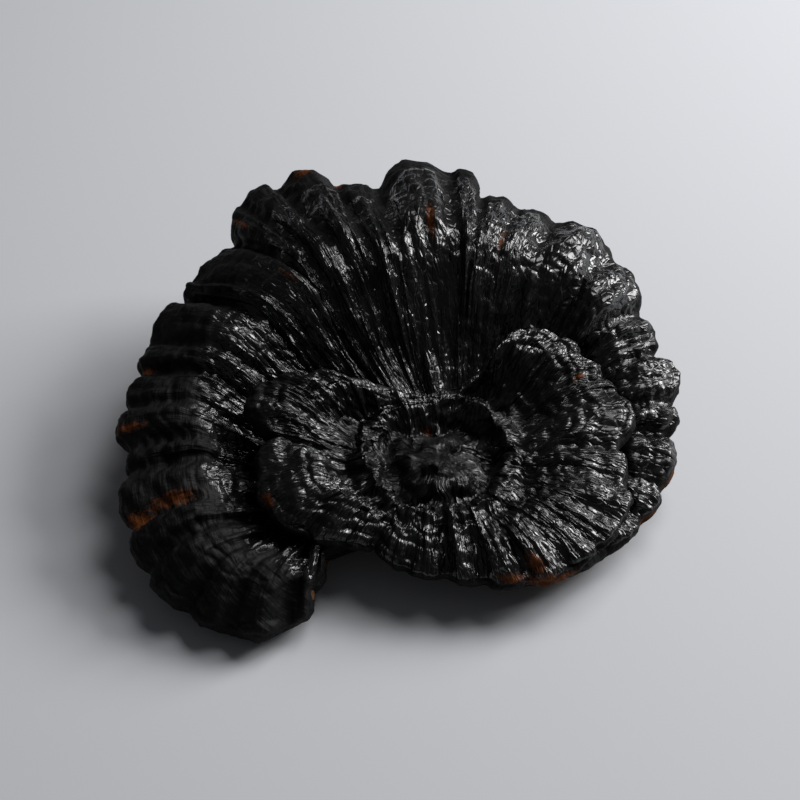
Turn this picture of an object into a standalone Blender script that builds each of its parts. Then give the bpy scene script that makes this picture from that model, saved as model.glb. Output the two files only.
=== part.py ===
"""A dried reishi: a broad ribbed lower cap, a smaller cap grown over its front, and a cut stem."""
from math import acos, atan2, cos, pi, radians, sin

import bmesh
import bpy
import numpy as np
from mathutils import Vector
from mathutils.bvhtree import BVHTree

MM = 0.001

# The heart is the point that the small cap's ribs run to. It stands beside the middle of the cut,
# which is the origin: +X to the right, +Y to the back, +Z up from what the cut rests on.
HEART_X = 5.0
HEART_Y = -30.0

# Margins, in millimetres from the heart, anticlockwise seen from above. Each row is the notch
# between two ribs (across, back, height of the middle of the margin), then the bow of the next
# rib's end and the arch of its back, both as shares of the rib's width.
LARGE_NOTCHES = [
    (60, -65, 15, 0.12, 0.08), (88, -51, 16, 0.12, 0.10), (109, -31, 18, 0.14, 0.12),
    (123, -9, 21, 0.20, 0.12), (128, 27, 25, 0.24, 0.13), (135, 49, 29, 0.30, 0.12),
    (127, 79, 37, 0.18, 0.12), (121, 104, 46, 0.14, 0.12), (109, 142, 56, 0.18, 0.12),
    (74, 166, 66, 0.10, 0.06), (52, 175, 71, 0.12, 0.09), (29, 179, 75, 0.22, 0.13),
    (9, 200, 79, 0.26, 0.14), (-33, 183, 79, 0.02, 0.05), (-60, 188, 77, 0.24, 0.20),
    (-95, 189, 74, 0.16, 0.18), (-117, 180, 69, 0.10, 0.10), (-119, 149, 62, 0.06, 0.08),
    (-144, 122, 56, 0.12, 0.14), (-145, 107, 54, 0.16, 0.13), (-163, 76, 48, 0.14, 0.13),
    (-166, 55, 44, 0.16, 0.12), (-171, 32, 40, 0.24, 0.13), (-167, 4, 36, 0.16, 0.12),
    (-165, -11, 33, 0.20, 0.12), (-161, -43, 27, 0.18, 0.12), (-151, -66, 19, 0.18, 0.12),
    (-129, -87, 12, 0.16, 0.12), (-107, -98, 9, 0.22, 0.13), (-77, -96, 9, 0.24, 0.13),
    (-63, -75, 14, 0.20, 0.10), (-60, -55, 18, 0.00, 0.06), (-32, -42, 18, 0.00, 0.05),
    (-5, -46, 17, 0.00, 0.05), (20, -49, 16, 0.00, 0.05), (40, -54, 15, 0.00, 0.05),
]
SMALL_NOTCHES = [
    (99, 6, 38, 0.22, 0.08), (102, 44, 43, 0.12, 0.08), (94, 51, 47, 0.14, 0.08),
    (84, 63, 53, 0.12, 0.08), (71, 72, 58, 0.12, 0.08), (46, 74, 61, 0.05, 0.06),
    (31, 61, 45, 0.00, 0.05), (12, 54, 35, 0.00, 0.05), (-9, 51, 34, 0.00, 0.05),
    (-29, 46, 42, 0.00, 0.06), (-50, 42, 55, 0.10, 0.08), (-74, 40, 58, 0.12, 0.08),
    (-92, 37, 57, 0.20, 0.10), (-103, 28, 54, 0.22, 0.10), (-99, 12, 50, 0.08, 0.08),
    (-86, 4, 45, 0.24, 0.08), (-95, -20, 42, 0.18, 0.08), (-89, -41, 38, 0.18, 0.08),
    (-71, -53, 34, 0.16, 0.08), (-51, -57, 31, 0.12, 0.08), (-35, -57, 28, 0.16, 0.08),
    (-18, -70, 24, 0.17, 0.09), (4, -73, 22, 0.17, 0.09), (25, -76, 21, 0.17, 0.09),
    (48, -76, 21, 0.17, 0.09), (69, -69, 23, 0.17, 0.09), (83, -56, 27, 0.17, 0.09),
    (95, -44, 30, 0.17, 0.09), (101, -19, 34, 0.10, 0.08),
]

# The ribs run from this centre to the margin. Some are bent: by notch number counted from 0, how
# far the control point of the curve stands off the middle of the straight way.
LARGE_CENTRE = (12, 14)
SMALL_CENTRE = (0, -1)
LARGE_BENDS = {
    13: (-14, 2), 14: (-20, -3), 15: (-18, -10), 16: (-16, -11), 17: (-12, 2), 26: (-14, 2),
    27: (-28, 6), 28: (-34, 6), 29: (-46, 3), 30: (-46, -8), 31: (-38, -14), 32: (-10, -3),
}

# Cross-sections by notch number, all on the top. Large cap: reach and height of the foot of the
# wall, then inset from the margin and height of the crest.
LARGE_SECTIONS = [
    (0, 52, 22, 16, 23), (1.5, 62, 22, 16, 26), (4, 72, 24, 16, 33), (6, 70, 28, 22, 46),
    (8, 72, 37, 34, 73), (10, 58, 38, 50, 91), (12, 46, 39, 66, 99), (15, 50, 39, 78, 96),
    (17, 60, 38, 66, 88), (19, 84, 33, 44, 71), (22, 104, 26, 34, 54), (25, 106, 25, 34, 42),
    (27, 96, 25, 30, 36), (29, 84, 25, 28, 31), (31, 60, 24, 22, 27), (33, 30, 22.5, 12, 23.5),
]
# Small cap: inset from the margin and height of the crest.
SMALL_SECTIONS = [
    (0, 30, 45), (1, 18, 51), (3, 15, 61), (5, 12, 65), (7, 4, 40), (9, 4, 44), (10, 7, 57),
    (11, 12, 62), (12, 18, 63), (13.5, 16, 59), (15, 14, 46), (16, 26, 51), (18, 26, 47), (20, 11, 38),
    (22, 18, 38), (24, 28, 40), (26.5, 32, 42),
]

# The middle of each cap: the top of the large one, and the crater of the small one by shares of
# its rim's radius.
LARGE_MIDDLE = 18.0
RIM_ACROSS = 39.0
RIM_BACK = 44.0
RIM_SHIFT = 0.04
CRATER = [(0.0, 40.0), (0.40, 39.0), (0.62, 31.5), (0.76, 33.0), (1.0, 43.0)]
GROOVE_OUT = 8.0
GROOVE_DROP = 4.5

# Half of each sheet's thickness at the centre, half-way and at the margin, how far out the ribs
# begin to stand, and the rings of the mesh on which the points of each cross-section fall. The
# skin is uneven by UNEVEN all over, and the underside takes UNDER_SHARE of each rib's arch.
LARGE_HALF = (6.0, 7.5, 5.6)
SMALL_HALF = (4.0, 5.5, 4.6)
LARGE_RIBS_FROM = 20.0
SMALL_RIBS_FROM = 42.0
LARGE_RINGS = (0, 2, 6, 9)
SMALL_RINGS = (0, 1, 2, 3, 5, 6, 9, 11)
UNDER_RINGS = 5
UNDER_SHARE = 0.45
UNEVEN = 0.25
NOSE_STEPS = 4
FIT = 0.9

# The flared stub under the large cap.
STEM_ACROSS = 38.0
STEM_BACK = 42.0
STEM_FLARE = 7.0
STEM_SEGMENTS = 30
STEM_RINGS = 10
STEM_WALL_FROM = 5
STEM_FIT = 1.2


def clear_scene():
    for item in list(bpy.data.objects):
        bpy.data.objects.remove(item, do_unlink=True)


def material(name, colour, roughness, coat):
    """One Principled surface of its own for a sub-part."""
    surface = bpy.data.materials.new(name)
    surface.use_nodes = True
    shader = surface.node_tree.nodes["Principled BSDF"]
    shader.inputs["Base Color"].default_value = (*colour, 1.0)
    shader.inputs["Roughness"].default_value = roughness
    shader.inputs["Coat Weight"].default_value = coat
    return surface


def curve(knots, place):
    """Height at a place on a curve through (place, height) knots, with no overshoot."""
    xs = [knot[0] for knot in knots]
    ys = [knot[1] for knot in knots]
    slopes = [(ys[i + 1] - ys[i]) / (xs[i + 1] - xs[i]) for i in range(len(xs) - 1)]
    tangents = [0.0]
    for before, after in zip(slopes, slopes[1:]):
        same_way = before * after > 0
        tangents.append(2 * before * after / (before + after) if same_way else 0.0)
    tangents.append(1.5 * slopes[-1])
    last = len(slopes) - 1
    span = min(last, sum(1 for x in xs[1:-1] if x <= place))
    width = xs[span + 1] - xs[span]
    t = min(max((place - xs[span]) / width, 0.0), 1.0)
    rise = t * t * (3 - 2 * t)
    lead = t * (1 - t) * (1 - t) * width * tangents[span]
    tail = t * t * (t - 1) * width * tangents[span + 1]
    return ys[span] + (ys[span + 1] - ys[span]) * rise + lead + tail


def around(sections, count, step):
    """The section's numbers at one notch number, eased between the rows that are listed."""
    first = sections[0]
    rows = list(sections) + [(first[0] + count, *first[1:])]
    for here, there in zip(rows, rows[1:]):
        if here[0] <= step <= there[0]:
            part = (step - here[0]) / (there[0] - here[0])
            part = 0.5 * part + 0.5 * part * part * (3 - 2 * part)
            return [a + (b - a) * part for a, b in zip(here[1:], there[1:])]
    return first[1:]


class Cap:
    """A thick sheet that spreads from its centre to a ribbed margin and returns underneath."""

    def __init__(self, notches, centre, bends, half, heights, ribs_from, knot_rings):
        self.notches = notches
        self.centre = Vector(centre)
        self.half = half
        self.heights = heights
        self.ribs_from = ribs_from
        self.knot_rings = knot_rings
        self.top_rings = knot_rings[-1]
        self.rings = self.top_rings + NOSE_STEPS + UNDER_RINGS
        self.bends = [Vector(bends.get(number, (0, 0))) for number in range(len(notches))]

    def rib(self, step):
        """The rib at a step of notches: its point on the margin, its bend and its arch."""
        number = int(step + 1e-6)
        part = max(step - number, 0.0)
        after = (number + 1) % len(self.notches)
        here = Vector(self.notches[number][:3])
        there = Vector(self.notches[after][:3])
        bulge, arch = self.notches[number][3:]
        chord = there - here
        out = Vector((chord.y, -chord.x, 0)).normalized()
        width = chord.xy.length
        bow = 4 * part * (1 - part)
        edge = here.lerp(there, part) + out * (bulge * width * bow)
        bend = self.bends[number].lerp(self.bends[after], part)
        return edge, bend, arch * width * bow

    def point(self, step, ring):
        """The surface at a step of notches round the cap and a ring down its section."""
        edge, bend, arch = self.rib(step)
        nose = self.half[2]
        full = (edge.xy - self.centre).length
        length = full - nose
        knots = self.heights(step, length, edge.z + nose)
        end_slope = (curve(knots, length) - curve(knots, length - 1.0))
        end_normal = Vector((-end_slope, 1.0)).normalized()
        past_top = ring - self.top_rings
        past_nose = past_top - NOSE_STEPS
        if past_top <= 0:
            reach = float(np.interp(ring, self.knot_rings, [knot[0] for knot in knots]))
            height = curve(knots, reach)
            growth = max(reach - self.ribs_from, 0.0) / (length - self.ribs_from)
            height += arch * growth ** 0.8
        elif past_nose >= 0:
            way = max(1 - past_nose / UNDER_RINGS, 0.0) ** 0.85
            reach = way * (length - 2 * nose * end_normal.x)
            half = curve([(0.0, self.half[0]), (0.5, self.half[1]), (1.0, nose)], way)
            slope = curve(knots, reach + 2.0) - curve(knots, max(reach - 2.0, 0.0))
            slope /= 4.0 if reach > 2.0 else reach + 2.0
            height = curve(knots, reach) - 2 * half * (1 + slope * slope) ** 0.5
            height += UNDER_SHARE * arch * way
        else:
            turn = pi * past_top / NOSE_STEPS
            tip = Vector((end_normal.y, -end_normal.x))
            centre = Vector((length, curve(knots, length))) - end_normal * nose
            around_nose = centre + end_normal * (nose * cos(turn)) + tip * (nose * sin(turn))
            reach = around_nose.x
            height = around_nose.y + arch * (0.5 + 0.5 * cos(turn)) ** 0.7
        share = reach / full
        flat = self.centre.lerp(edge.xy, share) + bend * (2 * share * (1 - share))
        height += UNEVEN * sin(1.9 * flat.x + 0.4) * cos(1.6 * flat.y)
        return Vector((flat.x, flat.y, height))


def large_heights(step, length, edge):
    """Top of the large cap: centre, foot of the wall, crest, margin."""
    foot_reach, foot, inset, crest = around(LARGE_SECTIONS, len(LARGE_NOTCHES), step)
    foot_reach = min(foot_reach, 0.6 * length)
    crest_reach = max(length - inset, foot_reach + 0.2 * length)
    return [(0.0, LARGE_MIDDLE), (foot_reach, foot), (crest_reach, crest), (length, edge)]


def small_heights(step, length, edge):
    """Top of the small cap: crater, rim, groove, crest, margin."""
    inset, crest = around(SMALL_SECTIONS, len(SMALL_NOTCHES), step)
    number = int(step)
    here = Vector(SMALL_NOTCHES[number][:2])
    there = Vector(SMALL_NOTCHES[(number + 1) % len(SMALL_NOTCHES)][:2])
    way = (here.lerp(there, step - number) - Vector(SMALL_CENTRE)).normalized()
    rim = 1 / Vector((way.x / RIM_ACROSS, way.y / RIM_BACK)).length
    rim *= 1 + RIM_SHIFT * way.y
    crest_reach = length - inset
    rim = min(rim, crest_reach - 5.0)
    room = min(crest_reach - rim, 2 * GROOVE_OUT) / (2 * GROOVE_OUT)
    knots = [(share * rim, height) for share, height in CRATER]
    knots.append((rim + GROOVE_OUT * room, knots[-1][1] - GROOVE_DROP * room))
    knots.append((crest_reach, crest))
    knots.append((length, edge))
    return knots


def build_cap(name, cap, segments, surface):
    """Shape a ball's rings into a cap: the top pole is its heart, the bottom one its underside."""
    mesh = bpy.data.meshes.new(name)
    shape = bmesh.new()
    count = segments * len(cap.notches)
    bmesh.ops.create_uvsphere(shape, u_segments=count, v_segments=cap.rings, radius=1.0)
    for vertex in shape.verts:
        turn = round(count * atan2(vertex.co.y, vertex.co.x) / (2 * pi)) % count
        ring = round(cap.rings * acos(max(-1.0, min(1.0, vertex.co.z))) / pi)
        vertex.co = cap.point(turn / segments, ring) * MM
    bmesh.ops.recalc_face_normals(shape, faces=shape.faces)
    shape.to_mesh(mesh)
    shape.free()
    item = bpy.data.objects.new(name, mesh)
    item.data.materials.append(surface)
    bpy.context.collection.objects.link(item)
    return item


def tree_of(item):
    shape = bmesh.new()
    shape.from_mesh(item.data)
    tree = BVHTree.FromBMesh(shape)
    shape.free()
    return tree


def surface_height(tree, place, upward, spread):
    """Highest top (or lowest underside) of another part round a place, or None off it."""
    found = []
    start = -0.1 if upward else 0.3
    for shift in ((0, 0), (spread, 0), (-spread, 0), (0, spread), (0, -spread)):
        origin = Vector((place.x + shift[0], place.y + shift[1], start))
        hit = tree.ray_cast(origin, Vector((0, 0, 1 if upward else -1)))[0]
        if hit is not None:
            found.append(hit.z)
    if not found:
        return None
    return min(found) if upward else max(found)


def seat_on(item, under):
    """Lift the small cap's underside clear of the large cap, keeping it a thick sheet."""
    tree = tree_of(under)
    for vertex in item.data.vertices:
        top = surface_height(tree, vertex.co, False, 3.5 * MM)
        if top is not None and vertex.co.z < top + FIT * MM:
            vertex.co.z = top + FIT * MM


def build_stem(under, surface):
    """A flared stub: flat cut below, its top following the underside of the large cap."""
    mesh = bpy.data.meshes.new("stem")
    shape = bmesh.new()
    bmesh.ops.create_uvsphere(
        shape, u_segments=STEM_SEGMENTS, v_segments=STEM_RINGS, radius=1.0)
    tree = tree_of(under)
    for vertex in shape.verts:
        turn = atan2(vertex.co.y, vertex.co.x)
        ring = round(STEM_RINGS * acos(max(-1.0, min(1.0, vertex.co.z))) / pi)
        lobes = 1 + 0.05 * cos(3 * turn + 0.6) + 0.03 * cos(5 * turn)
        out = Vector((cos(turn) * STEM_ACROSS, sin(turn) * STEM_BACK)) * lobes
        flare = out.normalized() * STEM_FLARE
        heart = Vector((HEART_X, HEART_Y))
        if ring <= STEM_WALL_FROM:
            flat = (out + flare) * (ring / STEM_WALL_FROM)
            place = Vector((flat.x, flat.y, 0)) * MM - Vector((heart.x, heart.y, 0)) * MM
            roof = surface_height(tree, place, True, 4.5 * MM) - STEM_FIT * MM
            vertex.co = Vector((flat.x * MM, flat.y * MM, roof))
        elif ring < STEM_RINGS:
            share = (ring - STEM_WALL_FROM) / (STEM_RINGS - 1 - STEM_WALL_FROM)
            flat = out + flare * (1 - share) ** 2
            rim = (out + flare)
            place = Vector((rim.x, rim.y, 0)) * MM - Vector((heart.x, heart.y, 0)) * MM
            roof = surface_height(tree, place, True, 4.5 * MM) - STEM_FIT * MM
            vertex.co = Vector((flat.x * MM, flat.y * MM, roof * (1 - share)))
        else:
            vertex.co = Vector((0, 0, 0))
    bmesh.ops.recalc_face_normals(shape, faces=shape.faces)
    shape.to_mesh(mesh)
    shape.free()
    item = bpy.data.objects.new("stem", mesh)
    item.data.materials.append(surface)
    bpy.context.collection.objects.link(item)
    return item


def shade(item, angle):
    for face in item.data.polygons:
        face.use_smooth = True
    item.data.set_sharp_from_angle(angle=radians(angle))


clear_scene()
lower = material("lower_lacquer", (0.010, 0.009, 0.009), 0.32, 0.6)
upper = material("upper_lacquer", (0.008, 0.007, 0.007), 0.26, 0.8)
cork = material("stem_cork", (0.13, 0.065, 0.03), 0.8, 0.0)

large = Cap(
    LARGE_NOTCHES, LARGE_CENTRE, LARGE_BENDS, LARGE_HALF, large_heights,
    LARGE_RIBS_FROM, LARGE_RINGS)
small = Cap(
    SMALL_NOTCHES, SMALL_CENTRE, {}, SMALL_HALF, small_heights,
    SMALL_RIBS_FROM, SMALL_RINGS)
large_cap = build_cap("large_cap", large, 4, lower)
small_cap = build_cap("small_cap", small, 4, upper)
seat_on(small_cap, large_cap)
stem = build_stem(large_cap, cork)

heart_point = bpy.data.objects.new("heart", None)
heart_point.location = (HEART_X * MM, HEART_Y * MM, 0)
bpy.context.collection.objects.link(heart_point)
large_cap.parent = heart_point
small_cap.parent = heart_point
for piece in (large_cap, small_cap):
    shade(piece, 50)
shade(stem, 40)
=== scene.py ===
# %% [markdown]
# # A dried reishi mushroom
# This bracket fungus grew as a low bowl of fat ribs with a second, smaller cap seated over its
# front. Its crust dried to a black lacquer: wrinkled and wet-looking inside, dull along the
# growing edge, and rubbed to a rusty brown on the knuckles that stick out. The solids give each
# cap its shape and size. Here each one is read back, covered with a much finer skin, creased and
# wrinkled, and given its finish.

from math import cos, pi, radians, sin

import bmesh
import bpy
import numpy as np
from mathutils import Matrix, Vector, noise


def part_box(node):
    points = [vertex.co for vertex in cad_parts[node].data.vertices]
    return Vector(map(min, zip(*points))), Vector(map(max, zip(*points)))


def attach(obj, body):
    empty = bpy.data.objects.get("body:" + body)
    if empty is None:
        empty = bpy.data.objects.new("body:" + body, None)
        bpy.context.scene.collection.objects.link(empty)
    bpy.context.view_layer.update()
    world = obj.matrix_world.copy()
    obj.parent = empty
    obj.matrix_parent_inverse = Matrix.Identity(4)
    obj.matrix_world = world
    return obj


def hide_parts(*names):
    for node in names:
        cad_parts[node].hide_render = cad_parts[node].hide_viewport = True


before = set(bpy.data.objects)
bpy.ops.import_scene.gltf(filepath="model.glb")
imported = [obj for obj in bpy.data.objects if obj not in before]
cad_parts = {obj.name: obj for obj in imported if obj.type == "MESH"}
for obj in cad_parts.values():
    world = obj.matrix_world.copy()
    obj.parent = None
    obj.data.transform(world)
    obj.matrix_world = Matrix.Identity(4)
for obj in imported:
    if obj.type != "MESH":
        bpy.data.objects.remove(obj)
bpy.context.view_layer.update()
MM = 0.001

# %% [markdown]
# ## Reading a cap back as rings
# A cap's solid is a ball pulled into shape: rings of points run from the top of its heart, over
# the margin, to the middle of its underside. The solid arrives as loose triangles, so a copy is
# merged first. The two poles are the points where the most edges meet. Every other ring is one
# step further from the pole, and is put in order by walking along it. Knowing each point's ring
# and rib is worth the trouble, because wrinkles can then follow the ribs wherever they bend.

# %% Rings of a cap
def merged_copy(node):
    shape = bmesh.new()
    shape.from_mesh(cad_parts[node].data)
    bmesh.ops.remove_doubles(shape, verts=shape.verts, dist=1e-6)
    return shape


def walk_ring(members):
    """Put a ring's points in order, anticlockwise seen from above."""
    left = set(members)
    order = [min(members, key=lambda v: v.index)]
    left.discard(order[0])
    while left:
        beside = [e.other_vert(order[-1]) for e in order[-1].link_edges]
        beside = [v for v in beside if v in left]
        order.append(min(beside, key=lambda v: (v.co - order[-1].co).length))
        left.discard(order[-1])
    points = np.array([v.co for v in order])
    ahead = np.roll(points, -1, axis=0)
    area = (points[:, 0] * ahead[:, 1] - points[:, 1] * ahead[:, 0]).sum()
    return points if area > 0 else points[::-1]


def line_up(points, before):
    """Turn a ring so that its points lie on the same rib lines as the ring before it."""
    gaps = [((np.roll(points, -k, axis=0) - before) ** 2).sum() for k in range(len(points))]
    return np.roll(points, -int(np.argmin(gaps)), axis=0)


def read_rings(node):
    """The cap's points as an array of rings by columns, both poles repeated all round."""
    shape = merged_copy(node)
    shape.verts.index_update()
    poles = sorted(shape.verts, key=lambda v: len(v.link_edges))[-2:]
    bottom, top = sorted(poles, key=lambda v: v.co.z)
    count = len(top.link_edges)
    rings = [np.tile(np.array(top.co), (count, 1))]
    seen = {top}
    front = [top]
    while len(seen) < len(shape.verts) - 1:
        front = {e.other_vert(v) for v in front for e in v.link_edges} - seen - {bottom}
        seen |= front
        points = walk_ring(front)
        rings.append(points if len(rings) == 1 else line_up(points, rings[-1]))
    rings.append(np.tile(np.array(bottom.co), (count, 1)))
    shape.free()
    return np.array(rings)


rings_of = {name: read_rings(name) for name in ("large_cap", "small_cap")}
for name, rings in rings_of.items():
    print(name, "has", len(rings), "rings of", rings.shape[1], "points")

# %% [markdown]
# ## Starting each rib on its notch
# Four points of every ring belong to one rib, and the first of them lies in the notch between two
# ribs. The notches are found on the margin's ring: they are the four-point stride whose points
# stand nearest the heart. The count starts at the notch at the front right of each cap, and goes
# round anticlockwise. After this turn, a whole number of ribs is always a crease.

# %% Find the notches
POINTS_PER_RIB = 4
TOP_RINGS = {"large_cap": 9, "small_cap": 11}  # from the top pole to where the margin rounds over
NOSE_RINGS = 4  # over the rounded margin
FIRST_NOTCH = {"large_cap": (65, -95), "small_cap": (104, -24)}


def start_on_notch(rings, margin_ring, first):
    """Turn all rings so that column 0 runs through the notch nearest to the place first, in mm."""
    heart = rings[0, 0, :2]
    reach = np.linalg.norm(rings[margin_ring, :, :2] - heart, axis=1)
    second = 2 * reach - np.roll(reach, 1) - np.roll(reach, -1)
    depth = [second[k::POINTS_PER_RIB].sum() for k in range(POINTS_PER_RIB)]
    rings = np.roll(rings, -int(np.argmin(depth)), axis=1)
    notches = rings[margin_ring, ::POINTS_PER_RIB, :2] / MM
    nearest = int(np.argmin(np.linalg.norm(notches - np.array(first), axis=1)))
    return np.roll(rings, -nearest * POINTS_PER_RIB, axis=1)


for name, top_rings in TOP_RINGS.items():
    margin_ring = top_rings + NOSE_RINGS // 2
    rings_of[name] = start_on_notch(rings_of[name], margin_ring, FIRST_NOTCH[name])
    print(name, "ribs:", rings_of[name].shape[1] // POINTS_PER_RIB)

# %% [markdown]
# ## A fine skin
# The skin starts as a UV sphere, whose rows and columns are a much finer version of the same
# rings. Each of its points knows its turn round the cap, counted in ribs, and its ring, and takes
# its place from the solid's points by a Catmull-Rom curve both ways. That curve passes through
# every point that it is given, so the skin keeps the solid's size. Rows are spent where they
# show: most of them on the top and on the rounded nose of the margin.

# %% Make a skin
def catmull_rom(t):
    """Weights of the four points around a step, for shares t of that step."""
    return np.array([
        -0.5 * t + t ** 2 - 0.5 * t ** 3,
        1 - 2.5 * t ** 2 + 1.5 * t ** 3,
        0.5 * t + 2 * t ** 2 - 1.5 * t ** 3,
        -0.5 * t ** 2 + 0.5 * t ** 3,
    ])


def point_on(rings, rib_turn, ring):
    """Places on a cap for arrays of turns (in ribs) and rings."""
    count = rings.shape[1]
    beyond_top = np.roll(rings[1], count // 2, axis=0)
    beyond_bottom = np.roll(rings[-2], count // 2, axis=0)
    net = np.concatenate([[beyond_top], rings, [beyond_bottom]])
    step = rib_turn * POINTS_PER_RIB
    column = np.floor(step).astype(int)
    row = np.clip(np.floor(ring).astype(int), 0, len(rings) - 2)
    across = catmull_rom(step - column)
    down = catmull_rom(ring - row)
    place = np.zeros((len(rib_turn), 3))
    for i in range(4):
        for j in range(4):
            weight = down[i] * across[j]
            place += weight[:, None] * net[row + i, (column + j - 1) % count]
    return place


class Skin:
    """A cap's fine skin: its mesh, and for each point its rib turn, ring and distances."""

    def __init__(self, name, rings, top_rings, columns_per_rib, rows):
        self.name = name
        self.rings = rings
        self.ribs = rings.shape[1] // POINTS_PER_RIB
        columns = columns_per_rib * self.ribs
        top_rows, nose_rows, under_rows = rows
        total = sum(rows)
        shape = bmesh.new()
        bmesh.ops.create_uvsphere(shape, u_segments=columns, v_segments=total, radius=1.0)
        self.mesh = bpy.data.meshes.new(name)
        shape.to_mesh(self.mesh)
        shape.free()
        ball = np.zeros(len(self.mesh.vertices) * 3)
        self.mesh.vertices.foreach_get("co", ball)
        ball = ball.reshape(-1, 3)
        column = np.round(columns * np.arctan2(ball[:, 1], ball[:, 0]) / (2 * pi)) % columns
        row = np.round(total * np.arccos(np.clip(ball[:, 2], -1, 1)) / pi)
        self.turn = column / columns_per_rib
        row_marks = [0, top_rows, top_rows + nose_rows, total]
        ring_marks = [0, top_rings, top_rings + NOSE_RINGS, len(rings) - 1]
        self.ring = np.interp(row, row_marks, ring_marks)
        self.top_end = top_rings
        self.push(point_on(rings, self.turn, self.ring))

    def push(self, place):
        """Put every point in a new place."""
        self.place = place
        self.mesh.vertices.foreach_set("co", place.ravel())
        self.mesh.update()

    def normals(self):
        found = np.zeros(len(self.place) * 3)
        self.mesh.vertex_normals.foreach_get("vector", found)
        return found.reshape(-1, 3)

    def lift(self, height):
        """Move every point along its own normal."""
        self.push(self.place + self.normals() * height[:, None])


# columns in each rib, then rows on the top, over the margin and on the underside
FINENESS = {"large_cap": (18, (96, 20, 30)), "small_cap": (20, (98, 20, 26))}
skins = {}
for name, (columns_per_rib, rows) in FINENESS.items():
    skin = Skin(name + "_skin", rings_of[name], TOP_RINGS[name], columns_per_rib, rows)
    skins[name] = skin
    print(name, "skin has", 2 * len(skin.mesh.vertices) - 4, "triangles")

# %% [markdown]
# ## Where a point lies on the crust
# Creases and wrinkles need distances in millimetres, not in ribs: how far a point is from the
# heart and from the margin along its rib, and how wide its rib is there. They are measured on the
# solid's own rings and looked up for every point of the skin.

# %% Distances on the crust
def measure(skin):
    """Give the skin its reach, inset, rib width (all in mm), and its share of the way out."""
    rings = skin.rings
    run = np.linalg.norm(np.diff(rings, axis=0), axis=2)
    run = np.concatenate([np.zeros((1, rings.shape[1])), np.cumsum(run, axis=0)]) / MM
    run = np.repeat(run[:, :, None], 3, axis=2)
    edge_ring = skin.top_end + NOSE_RINGS / 2
    at_edge = point_on(run, skin.turn, np.full(len(skin.turn), edge_ring))[:, 0]
    skin.reach = point_on(run, skin.turn, skin.ring)[:, 0]
    skin.inset = np.abs(at_edge - skin.reach)
    skin.under = skin.ring > edge_ring
    first = rings[:, ::POINTS_PER_RIB]
    wide = np.linalg.norm(np.roll(first, -1, axis=1) - first, axis=2) / MM
    row = np.clip(np.round(skin.ring).astype(int), 0, len(rings) - 1)
    whole = np.floor(skin.turn + 1e-9)
    skin.width = wide[row, whole.astype(int) % skin.ribs]
    skin.part = skin.turn - whole
    skin.share = np.clip(skin.reach / at_edge, 0, 2)


for skin in skins.values():
    measure(skin)
    print(skin.name, "ribs are", round(float(skin.width.max())), "mm wide at most")

# %% [markdown]
# ## The dull margin
# The newest growth, along the margin, has no lacquer. That dull band is narrow on the right and
# wide on the left, where the cap curls forward. It is given by pairs: a rib's number, and the
# band's width there in millimetres, with everything between them in proportion.

# %% Width of the dull margin
DULL_WIDTHS = {
    "large_cap": [
        (0, 6), (3, 5), (6, 8), (9, 13), (12, 23), (14, 33), (16, 40), (20, 46), (24, 54),
        (26, 64), (28, 56), (29.5, 22), (31, 7), (36, 6),
    ],
    "small_cap": [
        (0, 3), (4, 3), (8, 3), (11, 5), (12, 13), (14, 9), (16, 3), (20, 4), (24, 6), (29, 3),
    ],
}
for name, skin in skins.items():
    turns, widths = zip(*DULL_WIDTHS[name])
    skin.dull_width = np.interp(skin.turn, turns, widths)
    print(name, "dull margin is", min(widths), "to", max(widths), "mm wide")

# %% [markdown]
# ## Noise that follows the ribs
# Wrinkles on a cap run along its ribs, so their noise isn't taken at a point's place but on a
# cylinder: the turn round the cap goes round it, and the distance from the heart goes along it.
# The cylinder closes on itself, so there is no seam where the last rib meets the first.

# %% Noise helpers
TYPICAL_RIB = 26.0  # mm, the width of a rib that the sizes across are given for
UNDERSIDE_SHIFT = 50.0  # so that the underside doesn't repeat the top


def wrap(skin, across, along, seed=0.0):
    """Coordinates for noise that follows the ribs: across and along are cell sizes in mm."""
    angle = 2 * pi * skin.turn / skin.ribs
    radius = skin.ribs * TYPICAL_RIB / (2 * pi) / across
    side = np.where(skin.under, UNDERSIDE_SHIFT, 0.0)
    return np.stack([
        np.cos(angle) * radius + seed, np.sin(angle) * radius, skin.reach / along + side], axis=1)


def noise_at(coordinates, octaves=2):
    """Soft noise of about -1 to 1, with finer octaves on top."""
    found = [noise.fractal(c, 0.7, 2.1, octaves) for c in coordinates.tolist()]
    return np.array(found)


def smooth(value, low, high):
    """0 below low, 1 above high, and an even slope between them."""
    t = np.clip((value - low) / (high - low), 0, 1)
    return t * t * (3 - 2 * t)


def dull_amount(skin, wander):
    """1 on the dull margin, 0 on the glossy inner crust."""
    far = skin.inset * (1 + 0.25 * wander) / skin.dull_width
    return 1 - smooth(far, 0.75, 1.25)


for across in (3.6, 11, 40):
    print("noise", across, "mm across has", round(TYPICAL_RIB / across, 1), "cells in a rib")

# %% [markdown]
# ## Creases, folds and growth rings
# First the heart of the small cap is pushed about sideways, because its knob and the groove round
# it grew crooked. Then relief is added in layers, each as a height along the skin's own normal,
# in millimetres. A valley sinks between ribs. Each rib carries smaller folds that run its whole
# length. Growth stopped and started again, which left fine grooves side by side with the margin.
# Plain noise makes the rest uneven. All of it is weaker on the underside.

# %% Relief
GROWTH_STEP = 7.5  # mm from one growth ring to the next


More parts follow.
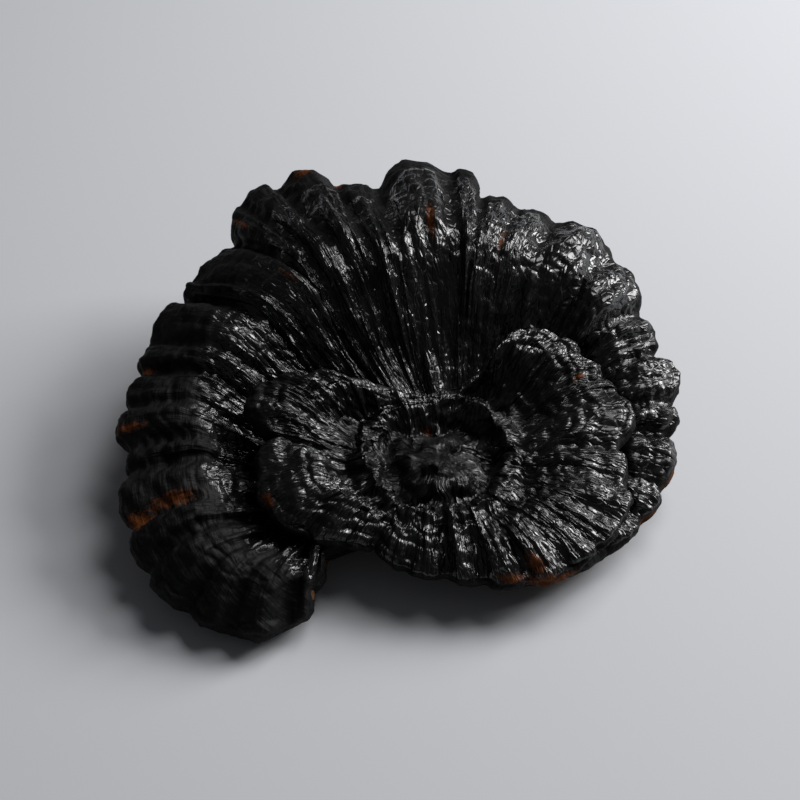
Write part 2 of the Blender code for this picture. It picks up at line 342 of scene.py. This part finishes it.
def ruffle_heart(skin, sway, cell):
    """Push the middle of a cap about, so that its knob and its groove are uneven."""
    near = np.where(skin.under, 0.0, 1 - smooth(skin.share, 0.42, 0.62))
    pushes = [noise_at(skin.place / (cell * MM) + seed) for seed in (5.0, 15.0, 25.0)]
    skin.push(skin.place + np.stack(pushes, axis=1) * near[:, None] * sway * MM)
    fine = noise_at(skin.place / (0.45 * cell * MM), 2)
    skin.lift(fine * near * 0.2 * sway * MM)


def add_relief(skin, crease, fold, growth):
    """Add every layer of relief: crease, fold and growth are heights in mm."""
    to_notch = np.minimum(skin.part, 1 - skin.part) * skin.width
    outward = smooth(skin.share, 0.25, 0.7)
    top = np.where(skin.under, 0.25, 1.0)
    wander = noise_at(wrap(skin, 40, 60, 3.0))
    skin.dull = dull_amount(skin, wander)
    inward = (0.3 + 0.7 * smooth(skin.inset, 5, 24)) * (1 - 0.5 * skin.dull)
    valley = -crease * np.exp(-(to_notch / (1.8 + 0.08 * skin.width)) ** 2) * outward * inward
    folds = np.abs(noise_at(wrap(skin, 11, 80, 7.0)))
    folds = fold * (folds - 0.3) * smooth(skin.width, 3, 12) * inward
    lumps = noise_at(skin.place / (9 * MM), 2) * (0.8 + 0.8 * smooth(skin.share, 0.4, 0.6))
    rough = noise_at(wrap(skin, 3.6, 16, 11.0), 3) * 0.42 * smooth(skin.width, 3, 12) + lumps
    waver = 4.0 * wander + 1.2 * noise_at(wrap(skin, 12, 12, 13.0))
    zone = (skin.inset + waver) / GROWTH_STEP
    to_ring = np.abs((zone % 1.0) - 0.5) * GROWTH_STEP
    strength = smooth(noise_at(wrap(skin, 45, 9, 17.0)), -0.4, 0.3)
    bands = -growth * np.exp(-(to_ring / 1.3) ** 2) * strength
    bands = bands * (1 - 0.5 * smooth(skin.inset, 30, 90)) * smooth(skin.share, 0.15, 0.4)
    skin.lift((valley + folds + rough + bands) * top * MM)


ruffle_heart(skins["small_cap"], sway=4.5, cell=13.0)
add_relief(skins["large_cap"], crease=3.0, fold=5.0, growth=0.8)
add_relief(skins["small_cap"], crease=1.2, fold=4.2, growth=1.2)
for name, skin in skins.items():
    span = (skin.place.max(axis=0) - skin.place.min(axis=0)) / MM
    print(name, "skin spans", np.round(span, 1))

# %% [markdown]
# ## Keeping the skins in the solids' box
# Relief makes a skin a little fatter, and a finished part may not outgrow its solids. The few
# points that now stand out of a solid's box are pressed back to it, with a hair's breadth left.

# %% Fit the boxes
BOX_SLACK = 0.3 * MM


def fit_inside(skin, node):
    low, high = (np.array(corner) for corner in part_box(node))
    fitted = np.clip(skin.place, low - BOX_SLACK, high + BOX_SLACK)
    moved = (fitted != skin.place).any(axis=1).mean()
    skin.push(fitted)
    print(node, "share of points pressed back:", round(float(moved), 4))


for name, skin in skins.items():
    fit_inside(skin, name)

# %% [markdown]
# ## Attributes for the finishes
# The finishes need to know the same things: coordinates that follow the ribs, how near the dull
# margin is, what is underside, and where the lacquer is rubbed through. They are stored on the
# skin as attributes, so they stay with it however it is moved. Rubbed spots are listed by the rib
# they lie on, how far along it, and their size in ribs and millimetres.

# %% Store the attributes
RUBBED = {
    "large_cap": [
        (2.2, 1, 0.3, 4), (3.3, 1, 0.3, 4), (10.0, 60, 0.07, 18), (12.33, 84, 0.07, 18),
        (13.9, 7, 0.15, 4), (14.58, 13, 0.24, 6), (16.55, 19, 0.12, 15), (17.42, 75, 0.08, 10),
        (18.3, 3, 0.25, 5), (20.97, 8, 0.12, 8), (22.64, 13, 0.12, 12), (24.9, 31, 0.14, 15),
        (25.03, 10, 0.22, 11),
    ],
    "small_cap": [
        (2.1, 19, 0.12, 6), (8.0, 32, 0.3, 4), (16.8, 6.5, 0.2, 5), (23.6, 8, 0.4, 4),
        (24.3, 15, 0.3, 8), (24.3, 4, 0.5, 5), (24.8, 1.5, 0.5, 3),
    ],
}


def store(skin, name, values, kind="FLOAT"):
    attribute = skin.mesh.attributes.new(name, kind, "POINT")
    field = "value" if kind == "FLOAT" else "vector"
    attribute.data.foreach_set(field, np.asarray(values, np.float32).ravel())


def rubbed_amount(skin, spots):
    """1 in the middle of a rubbed spot, fading to 0 around it."""
    amount = np.zeros(len(skin.turn))
    for turn, inset, ribs_wide, length in spots:
        apart = (skin.turn - turn + skin.ribs / 2) % skin.ribs - skin.ribs / 2
        near = (apart / ribs_wide) ** 2 + ((skin.inset - inset) / length) ** 2
        amount = np.maximum(amount, np.exp(-near))
    return np.where(skin.under & (skin.inset > 6), 0.0, amount)


for name, skin in skins.items():
    rubbed = rubbed_amount(skin, RUBBED[name])
    store(skin, "grain", wrap(skin, 1.0, 1.0), "FLOAT_VECTOR")
    store(skin, "dull", skin.dull)
    store(skin, "under", np.where(skin.under, smooth(skin.inset, 7.0, 11.0), 0.0))
    store(skin, "rubbed", rubbed)
    print(name, "rubbed share", round(float((rubbed > 0.5).mean()), 4))

# %% [markdown]
# ## Helpers for materials
# A material is a tree of nodes. These helpers add a node, set its sockets and hand back its
# output, so that a finish can be written down like a sum. Sizes of noise are given as cells in a
# millimetre on the grain, or in a metre on the object's own coordinates.

# %% Node helpers
def link(tree, out, into):
    tree.links.new(out, into)


def new_node(tree, kind, **settings):
    item = tree.nodes.new(kind)
    for key, value in settings.items():
        setattr(item, key, value)
    return item


def attribute(tree, name):
    return new_node(tree, "ShaderNodeAttribute", attribute_name=name)


def feed(tree, socket, value):
    """Give a socket a link, a number or a colour."""
    if isinstance(value, (int, float)):
        socket.default_value = value
    elif isinstance(value, tuple):
        socket.default_value = (*value, 1.0)
    else:
        link(tree, value, socket)


def maths(tree, operation, a, b):
    item = new_node(tree, "ShaderNodeMath", operation=operation)
    feed(tree, item.inputs[0], a)
    feed(tree, item.inputs[1], b)
    return item.outputs[0]


def add(tree, a, b, share=1.0):
    """a plus a share of b."""
    if share != 1.0:
        b = maths(tree, "MULTIPLY", b, share)
    return maths(tree, "ADD", a, b)


def colour_mix(tree, factor, a, b):
    item = new_node(tree, "ShaderNodeMix", data_type="RGBA")
    for number, value in ((0, factor), (6, a), (7, b)):
        feed(tree, item.inputs[number], value)
    return item.outputs[2]


def number_mix(tree, factor, a, b):
    item = new_node(tree, "ShaderNodeMix", data_type="FLOAT")
    for number, value in ((0, factor), (2, a), (3, b)):
        feed(tree, item.inputs[number], value)
    return item.outputs[0]


def ramp(tree, value, low, high):
    """0 below low, 1 above high."""
    item = new_node(tree, "ShaderNodeMapRange", interpolation_type="SMOOTHSTEP")
    item.inputs["From Min"].default_value = low
    item.inputs["From Max"].default_value = high
    link(tree, value, item.inputs["Value"])
    return item.outputs["Result"]


def bump(tree, height, depth):
    """A normal bent by a height; depth is what a height of 1 stands for, in metres."""
    item = new_node(tree, "ShaderNodeBump")
    item.inputs["Strength"].default_value = 1.0
    item.inputs["Distance"].default_value = depth
    link(tree, height, item.inputs["Height"])
    return item.outputs[0]


# %% Pattern helpers
def scaled(tree, vector, scale):
    mapping = new_node(tree, "ShaderNodeMapping")
    mapping.inputs["Scale"].default_value = scale
    link(tree, vector, mapping.inputs["Vector"])
    return mapping.outputs[0]


def stretched_noise(tree, vector, scale, detail, roughness=0.55):
    """Noise with its own number of cells along each axis."""
    item = new_node(tree, "ShaderNodeTexNoise")
    item.inputs["Scale"].default_value = 1.0
    item.inputs["Detail"].default_value = detail
    item.inputs["Roughness"].default_value = roughness
    link(tree, scaled(tree, vector, scale), item.inputs["Vector"])
    return item.outputs["Fac"]


def even_noise(tree, vector, scale, detail, roughness=0.55):
    return stretched_noise(tree, vector, (scale, scale, scale), detail, roughness)


def plates(tree, vector, scale):
    """Flat plates with narrow cracks between them."""
    item = new_node(tree, "ShaderNodeTexVoronoi", feature="DISTANCE_TO_EDGE")
    item.inputs["Scale"].default_value = 1.0
    link(tree, scaled(tree, vector, scale), item.inputs["Vector"])
    return ramp(tree, item.outputs["Distance"], 0.0, 0.22)


# %% [markdown]
# ## The crust's finish
# The crust is a dull black body under a clear coat of lacquer. The inner crust has the coat. What
# makes it look wrinkled is a fine net of bumps: long thin ones along the ribs, short ones across
# them, and a crackle over both, so that a broad light breaks up into glints. Towards the margin
# the coat thins out in specks and leaves a dull black-grey with thin lines round it. Where the
# crust is rubbed through, a rusty brown shows. The underside is a fine-pored brown.

# %% Crust material
BLACK = (0.0030, 0.0028, 0.0028)
DULL = (0.0056, 0.0056, 0.0061)
RUST = (0.095, 0.027, 0.006)
PORES = (0.12, 0.062, 0.028)
LACQUER_ROUGHNESS = 0.17
LACQUER_IOR = 1.48


def lacquer_height(tree, grain, place, crackle):
    """Wrinkles of the glossy crust."""
    along = stretched_noise(tree, grain, (0.20, 0.20, 0.026), 1.2, 0.45)
    across = stretched_noise(tree, grain, (0.12, 0.12, 0.27), 1.0, 0.4)
    cells = plates(tree, grain, (0.38, 0.38, 0.13))
    calm = ramp(tree, even_noise(tree, place, 28, 1.0), 0.38, 0.62)
    height = maths(tree, "MULTIPLY", across, number_mix(tree, calm, 0.06, 0.35))
    height = add(tree, height, along, 1.1)
    height = add(tree, height, cells, 0.15)
    return add(tree, height, crackle, 0.14)


def margin_height(tree, grain, crackle):
    """Lines round the dull margin, crossed by hair-thin ones."""
    rings = stretched_noise(tree, grain, (0.08, 0.08, 0.45), 2.0)
    hairs = stretched_noise(tree, grain, (0.55, 0.55, 0.06), 2.0)
    return add(tree, add(tree, rings, hairs, 0.8), crackle, 0.6)


def crust_normal(tree, grain, place, dull, wrinkle):
    crackle = even_noise(tree, place, 320, 1.5, 0.5)
    inner = bump(tree, lacquer_height(tree, grain, place, crackle), wrinkle)
    lined = bump(tree, margin_height(tree, grain, crackle), 0.0008)
    normal = new_node(tree, "ShaderNodeMix", data_type="VECTOR")
    for number, value in ((0, dull), (4, inner), (5, lined)):
        feed(tree, normal.inputs[number], value)
    return normal.outputs[1]


def coat_weight(tree, place, dull, bare, under):
    """How much lacquer is left: all, half where it is worn, or none."""
    specks = even_noise(tree, place, 150, 3.0, 0.6)
    lost = ramp(tree, add(tree, dull, specks, 1.1), 0.80, 1.15)
    worn = ramp(tree, even_noise(tree, place, 45, 2.0), 0.46, 0.62)
    coat = number_mix(tree, lost, number_mix(tree, worn, 1.0, 0.5), 0.0)
    return number_mix(tree, under, number_mix(tree, bare, coat, 0.0), 0.0)


def crust_material(name, wrinkle):
    material = bpy.data.materials.new(name)
    material.use_nodes = True
    tree = material.node_tree
    shader = tree.nodes["Principled BSDF"]
    grain = attribute(tree, "grain").outputs["Vector"]
    dull, under, rubbed = (
        attribute(tree, field).outputs["Fac"] for field in ("dull", "under", "rubbed"))
    place = new_node(tree, "ShaderNodeTexCoord").outputs["Object"]

    normal = crust_normal(tree, grain, place, dull, wrinkle)
    link(tree, normal, shader.inputs["Normal"])
    link(tree, normal, shader.inputs["Coat Normal"])

    patch = even_noise(tree, place, 420, 4.0, 0.75)
    bare = ramp(tree, add(tree, rubbed, patch, 2.2), 1.5, 2.1)
    tint = colour_mix(tree, dull, BLACK, DULL)
    tint = colour_mix(tree, bare, tint, RUST)
    link(tree, colour_mix(tree, under, tint, PORES), shader.inputs["Base Color"])

    link(tree, coat_weight(tree, place, dull, bare, under), shader.inputs["Coat Weight"])
    shader.inputs["Coat Roughness"].default_value = LACQUER_ROUGHNESS
    shader.inputs["Coat IOR"].default_value = LACQUER_IOR
    rough = number_mix(tree, under, number_mix(tree, dull, 0.45, 0.6), 0.85)
    link(tree, rough, shader.inputs["Roughness"])
    shader.inputs["Specular IOR Level"].default_value = 0.1
    return material


lower_crust = crust_material("lower_crust", 0.0020)
upper_crust = crust_material("upper_crust", 0.0019)
print("crust nodes:", len(lower_crust.node_tree.nodes))

# %% [markdown]
# ## Putting the skins in the scene
# Each skin becomes an object at the origin, shaded smooth. It stands for its cap's solid and
# rides on the one body that the fungus has.

# %% Show the skins
FINISHES = {
    "large_cap": ("lower_lacquer", lower_crust),
    "small_cap": ("upper_lacquer", upper_crust),
}
for name, skin in skins.items():
    slot, material = FINISHES[name]
    item = bpy.data.objects.new(skin.name, skin.mesh)
    bpy.context.scene.collection.objects.link(item)
    skin.mesh.shade_smooth()
    skin.mesh.materials.append(material)
    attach(item, "root")
    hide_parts(name)
    print(item.name, "stands for", name, "in", material.name)

# %% [markdown]
# ## The stem
# The stem is a short stub, cut off flat. Its side has the same dark skin, wrinkled lengthwise,
# and its cut shows dry brown cork. Its skin is the solid's own shape, divided finer, with the
# side smoothed and furrowed while the cut stays flat. The material tells the cut from the side by
# which way the surface faces.

# %% Stem skin
CUT_EDGE = 0.6 * MM  # points higher than this belong to the side
FADE_IN = 4 * MM  # the furrows start this far above the cut
FURROW_DEPTH = 1.3 * MM
stem_shape = merged_copy("stem")
bmesh.ops.subdivide_edges(stem_shape, edges=stem_shape.edges[:], cuts=3, use_grid_fill=True)
stem_wall = [v for v in stem_shape.verts if v.co.z > CUT_EDGE]
for _ in range(4):
    bmesh.ops.smooth_vert(
        stem_shape, verts=stem_wall, factor=0.5,
        use_axis_x=True, use_axis_y=True, use_axis_z=False)
for vertex in stem_wall:
    out = Vector((vertex.co.x, vertex.co.y, 0)).normalized()
    round_stem = Vector((out.x * 7, out.y * 7, vertex.co.z / (30 * MM)))
    furrow = noise.fractal(round_stem, 0.7, 2.1, 3) - 0.4
    fade = min(1.0, (vertex.co.z - CUT_EDGE) / FADE_IN)
    vertex.co += out * furrow * FURROW_DEPTH * fade
bmesh.ops.triangulate(stem_shape, faces=stem_shape.faces[:])
stem_mesh = bpy.data.meshes.new("stem_skin")
stem_shape.to_mesh(stem_mesh)
stem_shape.free()
stem_mesh.shade_smooth()
stem_skin = bpy.data.objects.new("stem_skin", stem_mesh)
bpy.context.scene.collection.objects.link(stem_skin)
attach(stem_skin, "root")
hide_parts("stem")
print("stem skin has", len(stem_mesh.polygons), "triangles")

# %% Stem material
PITH_DARK = (0.10, 0.05, 0.022)
PITH_PALE = (0.27, 0.16, 0.085)
SIDE_DARK = (0.012, 0.009, 0.008)
SIDE_BROWN = (0.05, 0.028, 0.016)


def cork_material():
    material = bpy.data.materials.new("cork")
    material.use_nodes = True
    tree = material.node_tree
    shader = tree.nodes["Principled BSDF"]
    place = new_node(tree, "ShaderNodeTexCoord").outputs["Object"]
    split = new_node(tree, "ShaderNodeSeparateXYZ")
    link(tree, new_node(tree, "ShaderNodeNewGeometry").outputs["True Normal"], split.inputs[0])
    cut = ramp(tree, maths(tree, "MULTIPLY", split.outputs["Z"], -1.0), 0.90, 0.98)
    fibre = stretched_noise(tree, place, (700, 700, 90), 4.0, 0.7)
    cut_tint = colour_mix(tree, even_noise(tree, place, 260, 5.0, 0.7), PITH_DARK, PITH_PALE)
    side_tint = colour_mix(tree, fibre, SIDE_DARK, SIDE_BROWN)
    link(tree, colour_mix(tree, cut, side_tint, cut_tint), shader.inputs["Base Color"])
    link(tree, number_mix(tree, cut, 0.45, 0.85), shader.inputs["Roughness"])
    link(tree, bump(tree, fibre, 0.0008), shader.inputs["Normal"])
    return material


cork = cork_material()
stem_mesh.materials.append(cork)
print("cork nodes:", len(cork.node_tree.nodes))

# %% [markdown]
# ## Floor
# The fungus stands on a plain pale floor: matt paper, slightly cool, and wide enough to fill every
# view.

# %% Floor
PAPER = (0.55, 0.56, 0.585)
floor_shape = bmesh.new()
bmesh.ops.create_grid(floor_shape, x_segments=1, y_segments=1, size=4.0)
floor_mesh = bpy.data.meshes.new("floor")
floor_shape.to_mesh(floor_mesh)
floor_shape.free()
floor = bpy.data.objects.new("floor", floor_mesh)
bpy.context.scene.collection.objects.link(floor)
paper = bpy.data.materials.new("floor_paper")
paper.use_nodes = True
paper_shader = paper.node_tree.nodes["Principled BSDF"]
paper_shader.inputs["Base Color"].default_value = (*PAPER, 1)
paper_shader.inputs["Roughness"].default_value = 0.9
paper_shader.inputs["Specular IOR Level"].default_value = 0.2
floor_mesh.materials.append(paper)
print("floor is", round(2 * max(v.co.x for v in floor_mesh.vertices), 1), "m wide")

# %% [markdown]
# ## Light
# A large soft box far to the right, and a little behind, gives the long glints and throws the
# shadow to the left. A second one high on the right lights the flat parts. A dim, even surround
# fills the shadows. A box that is large and far away lights the floor evenly.

# %% Lights
LIT_POINT = (0.0, 0.0, 0.04)


def soft_box(name, place, size, watts):
    lamp = bpy.data.lights.new(name, "AREA")
    lamp.shape = "RECTANGLE"
    lamp.size, lamp.size_y = size
    lamp.energy = watts
    item = bpy.data.objects.new(name, lamp)
    item.location = place
    towards = Vector(LIT_POINT) - Vector(place)
    item.rotation_euler = towards.to_track_quat("-Z", "Y").to_euler()
    bpy.context.scene.collection.objects.link(item)
    print(name, "gives", watts, "W over", size, "m")


soft_box("key_box", (2.10, 1.02, 1.40), (1.35, 1.0), 78)
soft_box("top_box", (0.62, 0.62, 1.35), (0.9, 0.8), 13)
surround = bpy.data.worlds.new("surround")
surround.use_nodes = True
surround.node_tree.nodes["Background"].inputs["Color"].default_value = (0.80, 0.83, 0.88, 1)
surround.node_tree.nodes["Background"].inputs["Strength"].default_value = 0.07
bpy.context.scene.world = surround

# %% [markdown]
# ## Camera
# The camera looks down on the fungus from the front, at 44 degrees, with a short telephoto lens,
# which keeps the near lobe from looking larger than it is.

# %% Camera
LOOK_DOWN = radians(44)
camera_data = bpy.data.cameras.new("camera")
camera_data.lens = 70
camera_data.sensor_width = 36
camera = bpy.data.objects.new("camera", camera_data)
camera.location = (-0.0147, -0.6067, 0.6377)
camera.rotation_euler = (pi / 2 - LOOK_DOWN, 0, 0)
bpy.context.scene.collection.objects.link(camera)
bpy.context.scene.camera = camera
bpy.context.scene.view_settings.view_transform = "Standard"
print("camera is", round(camera.location.length, 2), "m away")
